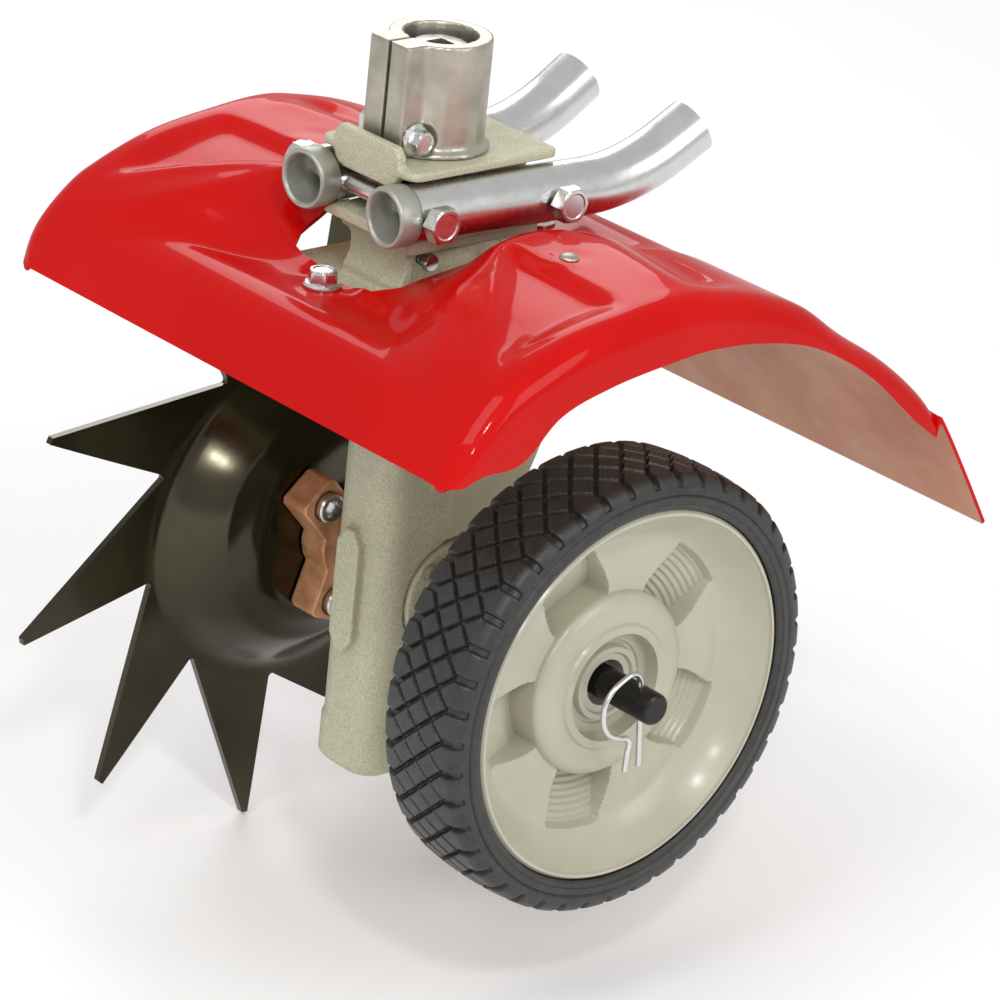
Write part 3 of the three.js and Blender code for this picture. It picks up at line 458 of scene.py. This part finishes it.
def hollow_yoke(obj):
    """The saddle's overhang sweeps down into the column's front in one concave round."""
    shelf, lip, centre_y = 129.5, 153.5, -33.0
    radius, mid = (lip - shelf) / 2, (lip + shelf) / 2
    root = [(-24, shelf - 1), (-17, shelf - 1), (-17, 148), (-24, 148)]
    combine(obj, bar("yoke_root", root, 16.4), "UNION")
    turn = [math.radians(360 * k / 72) for k in range(72)]
    hollow = [(centre_y + radius * math.cos(a), mid + radius * math.sin(a)) for a in turn]
    combine(obj, bar("yoke_round", hollow, 40), "DIFFERENCE")


rounded_cast("gear_housing", [CAST], "housing", 0.8, 3, hollow_yoke)
rounded_cast("right_bearing_cover", [CAST], "housing", 0.9, 4)
rounded_cast("drive_housing", [DIE_CAST], "housing", 0.8, 3)
rounded_cast("star_hub", [COPPER], "axle", 0.7, 5)


# ---------------------------------------------------------------- star blade
POINTS, FIRST_POINT = 10, 157.0
PITCH = 360 / POINTS
TIP_R, ROOT_R, BLADE_T = 133.8, 73.0, 3.0
TIP_TURN = 0.6  # half the blunt tip, in degrees
ROOT_TURN = 3.2  # where the rounded root ends and the slanted edge starts


def blade_x(r):
    """X of the blade's face: a flat middle, the dish's wall, and the flat ring with the points."""
    dish = [(0, -56), (30, -56), (34, -56.1), (38, -57.2), (43, -60), (47.5, -62), (49, -62.6), (52, -65),
            (57, -69.8), (62, -75), (66, -78.6), (70, -80.2), (74, -80.5), (140, -80.5)]
    return spline(dish, min(max(r, 0.0), 139))


def star_radius(turn):
    """Radius of the edge at an angle past a tip: blunt tip, near-radial edge, round root, slanted edge."""
    if turn < TIP_TURN or turn > PITCH - TIP_TURN:
        return TIP_R
    if turn < 1.0:
        return TIP_R + (ROOT_R - TIP_R) * (turn - TIP_TURN) / (1.0 - TIP_TURN)
    if turn < ROOT_TURN:
        before, after = max((2.1 - turn) / 1.1, 0), max((turn - 2.1) / 1.1, 0)
        return ROOT_R - 0.6 + 1.4 * before ** 2 + 0.6 * after ** 2
    whole = math.radians(PITCH - TIP_TURN - ROOT_TURN)
    past = math.radians(turn - ROOT_TURN)
    return ROOT_R * TIP_R * math.sin(whole) / (ROOT_R * math.sin(past) + TIP_R * math.sin(whole - past))


def make_blade():
    """A sheet of rings between the axle's hole and the star's edge, given its thickness."""
    turns = [0, 0.59, 0.7, 0.8, 0.9, 1.0, 1.5, 2.1, 2.7, ROOT_TURN]
    turns += [ROOT_TURN + 1.61 * k for k in range(1, 20)] + [35.0, 35.41]
    angles = [FIRST_POINT + PITCH * k + t for k in range(POINTS) for t in turns]
    shares = [0.1, 0.2, 0.32, 0.44, 0.56, 0.68, 0.78, 0.88, 0.94, 1.0]
    inner = [7.0, 14, 22, 28, 32, 34, 36, 38, 40.5, 43, 45.5, 47.5, 49, 51, 54, 57, 60, 63, 66, 68.5, 70.5]
    verts = []
    for angle in angles:
        edge = star_radius((angle - FIRST_POINT) % PITCH)
        radii = inner + [inner[-1] + (edge - inner[-1]) * s for s in shares]
        verts += [about_axle(blade_x(r), r, angle) for r in radii]
    faces = grid_faces(len(angles), len(inner) + len(shares), wrap_columns=False)
    obj = plain_mesh("edging_star", verts, faces)
    thick = obj.modifiers.new("thick", "SOLIDIFY")
    thick.thickness = BLADE_T * MM
    thick.offset = 1 if obj.data.polygons[0].normal.x < 0 else -1
    apply_modifiers(obj)
    return dress(obj, [OLIVE], "axle", ["star_blade"], 50)


make_blade()


# ---------------------------------------------------------------- guide wheel
WHEEL_L, WHEEL_R, TYRE_R, RIM_R = 79.0, 122.0, 89.0, 74.0
LUGS, GROOVE_DEPTH = 44, 1.9
TREAD_HALF, TREAD_CROWN = 17.2, 1.1


def tyre_groove(u, v):
    """Depth of the diamond tread: u runs round the tyre in pitches, v across it from -1 to 1."""
    av = min(abs(v), 0.8) * 1.25
    a = (u + av) % 1.0
    b = (u - av) % 1.0
    near = min(a, 1 - a, b, 1 - b)
    wide = 0.05 * smooth(0.75, 0.85, abs(v))
    groove = 1 - smooth(0.05 + wide, 0.10 + wide, near)
    on_tread = 1 - smooth(1.16, 1.26, abs(v))
    return (GROOVE_DEPTH + 6 * wide) * groove * on_tread


def make_tyre():
    """Turns a profile of (radius, x, place across the tread, share of the groove's depth there)."""
    centre = (WHEEL_L + WHEEL_R) / 2
    across = [k / 40 for k in range(-40, 41)]
    profile = [(TYRE_R - TREAD_CROWN * v * v, centre + TREAD_HALF * v, v, 1.0) for v in across]
    wall = [(87.0, 18.6, 1.06), (86.2, 19.6, 1.12), (85.0, 20.3, 1.18), (83.6, 20.8, 1.24),
            (82.2, 21.1, 1.3), (81.0, 21.2, 1.4), (80.2, 20.7, 1.5), (79.6, 21.3, 1.5),
            (77.2, 21.5, 1.5), (76.8, 21.0, 1.5), (75.2, 20.8, 1.5), (74.4, 20.0, 1.5)]
    for sign in (1, -1):
        side = [(r, centre + sign * x, sign * v, 0.8) for r, x, v in wall]
        profile = profile + side if sign > 0 else side[::-1] + profile
    steps = LUGS * 22
    verts = []
    for k in range(steps):
        for r, x, v, share in profile:
            depth = tyre_groove(LUGS * k / steps, v)
            inwards = max(0.0, (abs(v) - 1.0) * 3)
            pull = depth * share * (1 if x > centre else -1) * min(inwards, 1.0) * 0.6
            verts.append(about_axle(x - pull, r - depth * share, 360 * k / steps))
    faces = grid_faces(steps, len(profile))
    return make("tyre_with_tread", verts, faces, [TYRE], "wheel", ["wheel_tyre"], 35)


PADDLE_ANGLE, PADDLE_PITCH = 81.0, 72.0  # five paddles
POCKET_R, POCKET_LENGTH, POCKET_STEPS = 37.0, 22.0, 9
BOWL_X = 105.4


def rim_x(r, angle):
    """X of the rim's outer face: lip, bowl, paddles with stepped pockets between them, hub disc."""
    if r > 71.8:
        return 120.6 - 1.2 * smooth(73.0, 74.0, r)
    bowl = BOWL_X + 14.4 * max((r - 57.5) / 14.3, 0.0) ** 1.6
    if r > 59.5:
        return bowl
    if r >= POCKET_R:
        turn = (angle - PADDLE_ANGLE + PADDLE_PITCH / 2) % PADDLE_PITCH - PADDLE_PITCH / 2
        half = 14.0 + 8.0 * smooth(POCKET_R, POCKET_R + POCKET_LENGTH, r)
        share = (r - POCKET_R) / POCKET_LENGTH * POCKET_STEPS
        floor = 93.2 + 9.0 * (math.floor(share) + smooth(0.0, 0.3, share % 1.0)) / POCKET_STEPS
        pocket = smooth(half, half + 1.4, abs(turn)) * (1 - smooth(58.4, 59.4, r))
        return bowl + (floor - bowl) * pocket * smooth(POCKET_R, POCKET_R + 0.6, r)
    if r > 25.5:
        return BOWL_X + 4.6 * math.sqrt(max(1 - ((r - 25.5) / 11.5) ** 2.6, 0.0))
    if r > 20.6:
        return 110.0 + 1.2 * smooth(25.5, 24.6, r) - 6.0 * smooth(21.6, 20.6, r)
    if r > 9.2:
        return 105.2 - 0.8 * smooth(17.0, 16.5, r) + 2.6 * smooth(15.4, 14.6, r) - 1.2 * smooth(12.6, 11.8, r)
    return 97.0


def make_rim():
    """The rim turned from its front, which changes with the angle, and a plain back."""
    radii = [6.8, 9.19, 9.21, 10.5, 11.8, 12.2, 12.6, 14.6, 15, 15.4, 16.5, 17, 19, 20.61, 21.1, 21.6,
             22.6, 24.6, 25.1, 25.5, 27, 29, 31, 33, 34.4, 35.4, 36.1, 36.6, 36.9, 37.0, 37.3, 37.6]
    step = POCKET_LENGTH / POCKET_STEPS
    radii += [POCKET_R + step * (k + s) for k in range(POCKET_STEPS) for s in (0.2, 0.3, 0.6, 0.99)]
    radii += [59.2, 59.5, 61, 63, 65, 66.5, 68, 69, 70, 70.8, 71.4, 71.79, 71.85, 72.6, 73.0, 73.5, RIM_R]
    front = [(r, None) for r in sorted(set(radii))]
    back = [(RIM_R, 118), (RIM_R, 84), (RIM_R - 1, 81), (70, 80.2), (66, 82), (62, 90), (40, 91), (20, 92),
            (19, 84.2), (6.8, 84.2)]
    profile = front + back
    steps = 450
    verts = []
    for k in range(steps):
        angle = 360 * k / steps
        verts += [about_axle(rim_x(r, angle) if x is None else x, r, angle) for r, x in profile]
    faces = grid_faces(steps, len(profile))
    return make("moulded_rim", verts, faces, [RIM], "wheel", ["wheel_rim"], 28)


make_tyre()
make_rim()


# ---------------------------------------------------------------- handle stubs
SPLAY, TUBE_X, TUBE_Z, TUBE_FRONT = 3.5, 23.6, 166.5, -41.0  # SPLAY in degrees, TUBE_Z above the axle
TUBE_R, TUBE_BORE_R = 11.1, 9.9


def on_tube(side, y, z, radius, angle, slope):
    """A point on a ring round the splayed tube's centre line at (y, z)."""
    a, s = math.radians(angle), math.radians(SPLAY)
    up = radius * math.sin(a)
    lx, ly = radius * math.cos(a), y - up * math.sin(slope) - TUBE_FRONT
    x = side * TUBE_X + lx * math.cos(s) + side * ly * math.sin(s)
    y = TUBE_FRONT + ly * math.cos(s) - side * lx * math.sin(s)
    return (x, y, TUBE_Z + AXLE_Z + z + up * math.cos(slope))


def sweep(name, rings, side, mats, replaced, sides=56, shade_angle=35):
    """A closed skin over rings of (y, z, radius, slope)."""
    verts = [on_tube(side, y, z, r, 360 * k / sides, slope) for y, z, r, slope in rings for k in range(sides)]
    return make(name, verts, grid_faces(len(rings), sides), mats, "housing", replaced, shade_angle)


def handle_rings(radius, bend=30.0, bend_y=51.0, bend_r=80.0, start=-31.2, rest=14.0):
    """Rings along one handle stub: straight from start to bend_y, bent up by bend degrees, then rest."""
    rings = [(start, 0, radius, 0), (start + 0.5, 0, radius, 0), (0, 0, radius, 0), (bend_y, 0, radius, 0)]
    for k in range(1, 19):
        t = math.radians(bend * k / 18)
        rings.append((bend_y + bend_r * math.sin(t), bend_r * (1 - math.cos(t)), radius, t))
    y, z, _, t = rings[-1]
    rings.append((y + rest * math.cos(t), z + rest * math.sin(t), radius, t))
    return rings


# Section of the end sleeve as (y, radius): rolled mouth, outside, and the spigot inside the tube.
SLEEVE_SECTION = [(-39.6, 9.2), (-40.6, 9.5), (-41, 10.0), (-41, 10.9), (-40.5, 11.4), (-39.8, 11.6),
                  (-32.2, 11.6), (-31.6, 11.3), (-31.5, 9.6), (-15.5, 9.6), (-15.5, 8.4), (-30, 8.6),
                  (-33, 9.1)]

for side_name, side in (("left", -1), ("right", 1)):
    tube = handle_rings(TUBE_R) + handle_rings(TUBE_BORE_R)[::-1]
    sweep(f"{side_name}_handle_stub", tube, side, [ZINC], [f"{side_name}_handle_tube"])
    collar = [(y, 0, radius, 0) for y, radius in SLEEVE_SECTION]
    sweep(f"{side_name}_collar", collar, side, [SLEEVE], [f"{side_name}_end_sleeve"])


# ---------------------------------------------------------------- screws, nuts and pins
HEX_ACROSS, HEX_SHANK_R, HEX_NUT_BORE_R, HEX_NUT_HEIGHT = 12.7, 3.9, 4.2, 6.7  # 5/16 in bolts
HANDLE_BOLTS = (("front", -26.0), ("rear", 33.5))
SEAT_FROM_TUBE = 12.0  # from a tube's centre line to the seat of a handle bolt's head
HANDLE_BOLT_TAIL, HANDLE_NUT_SET = 9.5, 8.0  # bolt's end, and nut's outer face, past the far seat
CLAMP_BOLT, GREASE_PLUG = (11.3, -18.2, -35.5), (17.2, -12, -82)
HUB_SCREW_R, HUB_SCREW_ANGLES = 24.8, (131, 251, 11)
HUB_SCREW_X, HUB_NUT_X = -46, -66
AXLE_R, AXLE_LEFT, AXLE_RIGHT = 6.35, -74, 134


def frame_of(origin, axis):
    """Matrix that carries +Z to axis ("x" or "z") at origin, in millimetres."""
    turn = Matrix.Rotation(math.radians(90), 4, "Y") if axis == "x" else Matrix.Identity(4)
    return Matrix.Translation(Vector(origin)) @ turn


def loft(rings, where):
    """Closed skin through rings of points given in the fastener's own frame."""
    n = len(rings[0])
    verts = [tuple(where @ Vector(p)) for ring in rings for p in ring]
    faces = grid_faces(len(rings), n, wrap_rows=False)
    faces += [tuple(range(n)), tuple(range(n * len(rings) - 1, n * (len(rings) - 1) - 1, -1))]
    return verts, faces


def circle(radius, z, n=48):
    turn = [2 * math.pi * k / n for k in range(n)]
    return [(radius * math.cos(a), radius * math.sin(a), z) for a in turn]


def hexagon(across, z, cap=10.0, n=48):
    """A hexagon as n points, its corners cut back to a circle of radius cap."""
    ring = []
    for k in range(n):
        a = 2 * math.pi * k / n
        r = across / 2 / math.cos((a + math.pi / 6) % (math.pi / 3) - math.pi / 6)
        ring.append((min(r, cap) * math.cos(a), min(r, cap) * math.sin(a), z))
    return ring


def hex_bolt(name, origin, axis, across, height, shank_r, shank, flange_r, mats, body, dished=True):
    """A bolt with its seat at origin and its head along axis, with a flange where flange_r isn't 0."""
    rings = [circle(shank_r, -shank), circle(shank_r, 0)]
    rings += [circle(flange_r, 0), circle(flange_r, 0.8), circle(flange_r - 0.9, 1.5)] if flange_r else []
    start = 1.6 if flange_r else 0.02
    rings += [hexagon(across, start), hexagon(across, height - 1.1)]
    rings += [hexagon(across, height - 0.5, across * 0.545), hexagon(across, height - 0.05, across * 0.49)]
    if dished:
        rings += [circle(across * 0.40, height), circle(across * 0.36, height - 0.35)]
        rings += [circle(across * 0.1, height - 0.35)]
    verts, faces = loft(rings, frame_of(origin, axis))
    return make(name + "_part", verts, faces, mats, body, [name], 30)


def hex_nut(name, origin, axis, across, height, bore, mats, body):
    """A nut whose lower face is at origin."""
    cap = across * 0.54
    rings = [circle(bore, 0), hexagon(across, 0, cap - 0.4), hexagon(across, 0.7, cap + 0.4)]
    rings += [hexagon(across, height - 0.7, cap + 0.4), hexagon(across, height, cap - 0.4)]
    rings.append(circle(bore, height))
    where = frame_of(origin, axis)
    verts = [tuple(where @ Vector(p)) for ring in rings for p in ring]
    return make(name + "_part", verts, grid_faces(len(rings), len(rings[0])), mats, body, [name], 30)


def socket_screw(name, origin, axis, head_r, height, shank_r, shank, socket, mats, body):
    """A cylinder-head screw with a hexagon socket, measured across its flats, in the head."""
    rings = [circle(shank_r, -shank), circle(shank_r, 0), circle(head_r, 0), circle(head_r, height - 0.6),
             circle(head_r - 0.6, height), hexagon(socket, height), hexagon(socket, height * 0.45)]
    verts, faces = loft(rings, frame_of(origin, axis))
    return make(name + "_part", verts, faces, mats, body, [name], 30)


for place, y in HANDLE_BOLTS:
    seat = TUBE_X + (y - TUBE_FRONT) * math.tan(math.radians(SPLAY)) + SEAT_FROM_TUBE
    z = TUBE_Z + AXLE_Z
    hex_bolt(f"handle_bolt_{place}", (seat, y, z), "x", HEX_ACROSS, 5.6, HEX_SHANK_R,
             2 * seat + HANDLE_BOLT_TAIL, 0, [ZINC], "housing")
    hex_nut(f"handle_nut_{place}", (-seat - HANDLE_NUT_SET, y, z), "x", HEX_ACROSS, HEX_NUT_HEIGHT,
            HEX_NUT_BORE_R, [ZINC], "housing")
hex_bolt("clamp_bolt", CLAMP_BOLT, "x", 8, 6.2, 2.4, 29.3, 6.2, [ZINC], "housing")
for place, y in FENDER_BOLTS:
    top = fender_z(0, y) + AXLE_Z + 0.25
    hex_bolt(f"fender_bolt_{place}", (0, y, top), "z", 10, 6.4, 2.4, 14, 7.35, [ZINC], "housing")
hex_bolt("grease_plug", GREASE_PLUG, "x", 6, 3.4, 2, 8, 0, [ZINC], "housing", dished=False)
for number, angle in enumerate(HUB_SCREW_ANGLES, 1):
    y, z = about_axle(0, HUB_SCREW_R, angle)[1:]
    socket_screw(f"hub_screw_{number}", (HUB_SCREW_X, y, z), "x", 5.95, 8, HEX_SHANK_R, 21, 6.35,
                 [ZINC], "axle")
    hex_nut(f"hub_nut_{number}", (HUB_NUT_X, y, z), "x", HEX_ACROSS, HEX_NUT_HEIGHT, HEX_NUT_BORE_R,
            [ZINC], "axle")


def rivet():
    """The rivet's low round head on the fender's side, with its shank."""
    top = fender_z(RIVET_X, RIVET_Y) + AXLE_Z
    profile = [(2.3, -3), (2.3, 0.1), (3.75, 0.15), (3.5, 0.8), (2.6, 1.35), (1.2, 1.6)]
    rings = [circle(radius, z) for radius, z in profile]
    verts, faces = loft(rings, frame_of((RIVET_X, RIVET_Y, top), "z"))
    return make("fender_rivet_part", verts, faces, [DIE_CAST], "housing", ["fender_rivet"], 60)


rivet()


def make_axle():
    profile = [(0.01, AXLE_LEFT), (5.2, AXLE_LEFT), (AXLE_R, AXLE_LEFT + 1.2), (AXLE_R, AXLE_RIGHT - 1.8),
               (6.0, AXLE_RIGHT - 0.7), (5.0, AXLE_RIGHT), (0.01, AXLE_RIGHT)]
    return lathe("axle_bar", profile, about_axle, [BLACK], "axle", ["axle_shaft"], 48, closed=False)


make_axle()

# Centre line of a hairpin as (y, z) from the axle's centre: the straight leg first, then the loop.
PIN = [(0, -27), (0, -18), (0, -8), (0, 0), (0, 6), (-0.6, 10), (-3, 12.6), (-8, 12), (-16, 7.2), (-18.4, 0),
       (-16.4, -7.5), (-11, -11.6), (-5.4, -14.6), (-6, -20), (-7, -27)]
PIN_LEAN = (2.9, 27)  # sideways over length
PIN_WIRE_R, LEFT_PIN_X, RIGHT_PIN_X = 1.1, -66, 125


def hairpin(name, x, up):
    """A spring pin across the axle at x, its loop up (1) or down (-1), leaning a little."""
    lean = math.atan2(*PIN_LEAN)
    curve = bpy.data.curves.new(name + "_wire", "CURVE")
    curve.dimensions = "3D"
    curve.bevel_depth = PIN_WIRE_R * MM
    curve.bevel_resolution = 5
    curve.resolution_u = 8
    curve.use_fill_caps = True
    line = curve.splines.new("BEZIER")
    line.bezier_points.add(len(PIN) - 1)
    for point, (y, z) in zip(line.bezier_points, PIN):
        ry = y * math.cos(lean) - z * math.sin(lean)
        rz = (y * math.sin(lean) + z * math.cos(lean)) * up
        point.co = Vector((x, AXLE_Y + ry, AXLE_Z + rz)) * MM
        point.handle_left_type = point.handle_right_type = "AUTO"
    path = add_object(name + "_wire", curve)
    wire = bpy.data.meshes.new_from_object(path.evaluated_get(bpy.context.evaluated_depsgraph_get()))
    bpy.data.objects.remove(path)
    return dress(add_object(name + "_wire", wire), [ZINC], "axle", [name], 60)


hairpin("left_hairpin", LEFT_PIN_X, -1)
hairpin("right_hairpin", RIGHT_PIN_X, 1)


# ---------------------------------------------------------------- carried-over CAD nodes
# Small and inner pieces are shown as the CAD has them, with a material in their own slot.
CARRIED = {
    ZINC: ["handle_washer_front", "handle_washer_rear", "clamp_nut", "blade_washer", "inner_wheel_washer",
           "cover_screw_1", "cover_screw_2", "cover_screw_3", "cover_screw_4"],
    STEEL: ["worm_shaft", "drive_cup", "lower_worm_bearing", "upper_worm_bearing", "blade_spacer",
            "wheel_spacer"],
    BRONZE: ["worm_wheel", "left_axle_bushing", "right_axle_bushing"],
    SEAL: ["left_axle_seal", "right_axle_seal"],
}
for mat, names in CARRIED.items():
    for name in names:
        nodes[name].material_slots[0].material = mat

# ---------------------------------------------------------------- studio
# Lamps in metres and watts: place, the point it is aimed at, size, power.
LAMPS = {
    "key": ((0.15, -1.1, 1.35), (0, 0, -0.1), (1.0, 1.0), 11),
    "side": ((1.5, 0.4, 0.6), (0, 0, -0.15), (0.6, 1.0), 6),
    "rear": ((-1.3, 0.9, 0.8), (0, 0, -0.1), (0.8, 0.9), 7),
    "spark": ((1.1, -0.7, 0.95), (0, 0, -0.15), (0.16, 0.16), 5),
    "streak": ((1.43, -1.32, 0.8), (-0.07, -0.03, -0.19), (0.18, 0.18), 5),
}
ROOM_LIGHT = 0.66
FLOOR_DROP, FLOOR_HALF = 0.001, 6.0
# The camera looks from this many degrees round from +X and above the horizon, rolled a little.
CAMERA_AZIMUTH, CAMERA_ELEVATION, CAMERA_ROLL = -43.554, 22.576, 6.068
CAMERA_PLACE = (1.23693, -1.12143, 0.51108)  # metres
CAMERA_LENS = 170.064  # millimetres


def stage_plane():
    s, z = FLOOR_HALF, cad_box[0][2] - FLOOR_DROP
    mesh = bpy.data.meshes.new("floor")
    mesh.from_pydata([(-s, -s, z), (s, -s, z), (s, s, z), (-s, s, z)], [], [(0, 1, 2, 3)])
    obj = add_object("floor", mesh)
    mat, tree, bsdf = shader("floor_paper", (0.93, 0.93, 0.93), 0.9)
    vary(tree, bsdf, noise(tree, 3), 0.3, 0.7, (0.92, 0.92, 0.92), (0.95, 0.95, 0.95))
    mesh.materials.append(mat)


def area_light(name, place, target, size, power):
    light = bpy.data.lights.new(name, "AREA")
    light.shape = "RECTANGLE"
    light.size, light.size_y = size
    light.energy = power
    obj = add_object(name, light)
    obj.location = place
    obj.rotation_euler = (Vector(target) - Vector(place)).to_track_quat("-Z", "Y").to_euler()


def white_room():
    world = bpy.data.worlds.new("studio")
    world.use_nodes = True
    background = world.node_tree.nodes["Background"]
    background.inputs["Color"].default_value = (1, 1, 1, 1)
    background.inputs["Strength"].default_value = ROOM_LIGHT
    bpy.context.scene.world = world


def set_camera():
    camera = bpy.data.cameras.new("camera")
    camera.lens = CAMERA_LENS
    camera.sensor_width = 36
    camera.clip_start, camera.clip_end = 0.05, 30
    rig = add_object("camera", camera)
    swing = Matrix.Rotation(math.radians(90 + CAMERA_AZIMUTH), 4, "Z")
    tilt = Matrix.Rotation(math.radians(90 - CAMERA_ELEVATION), 4, "X")
    roll = Matrix.Rotation(math.radians(CAMERA_ROLL), 4, "Z")
    rig.matrix_world = Matrix.Translation(CAMERA_PLACE) @ swing @ tilt @ roll
    bpy.context.scene.camera = rig


stage_plane()
white_room()
bpy.context.scene.view_settings.view_transform = "Standard"
for name, (place, target, size, power) in LAMPS.items():
    area_light(name, place, target, size, power)
set_camera()
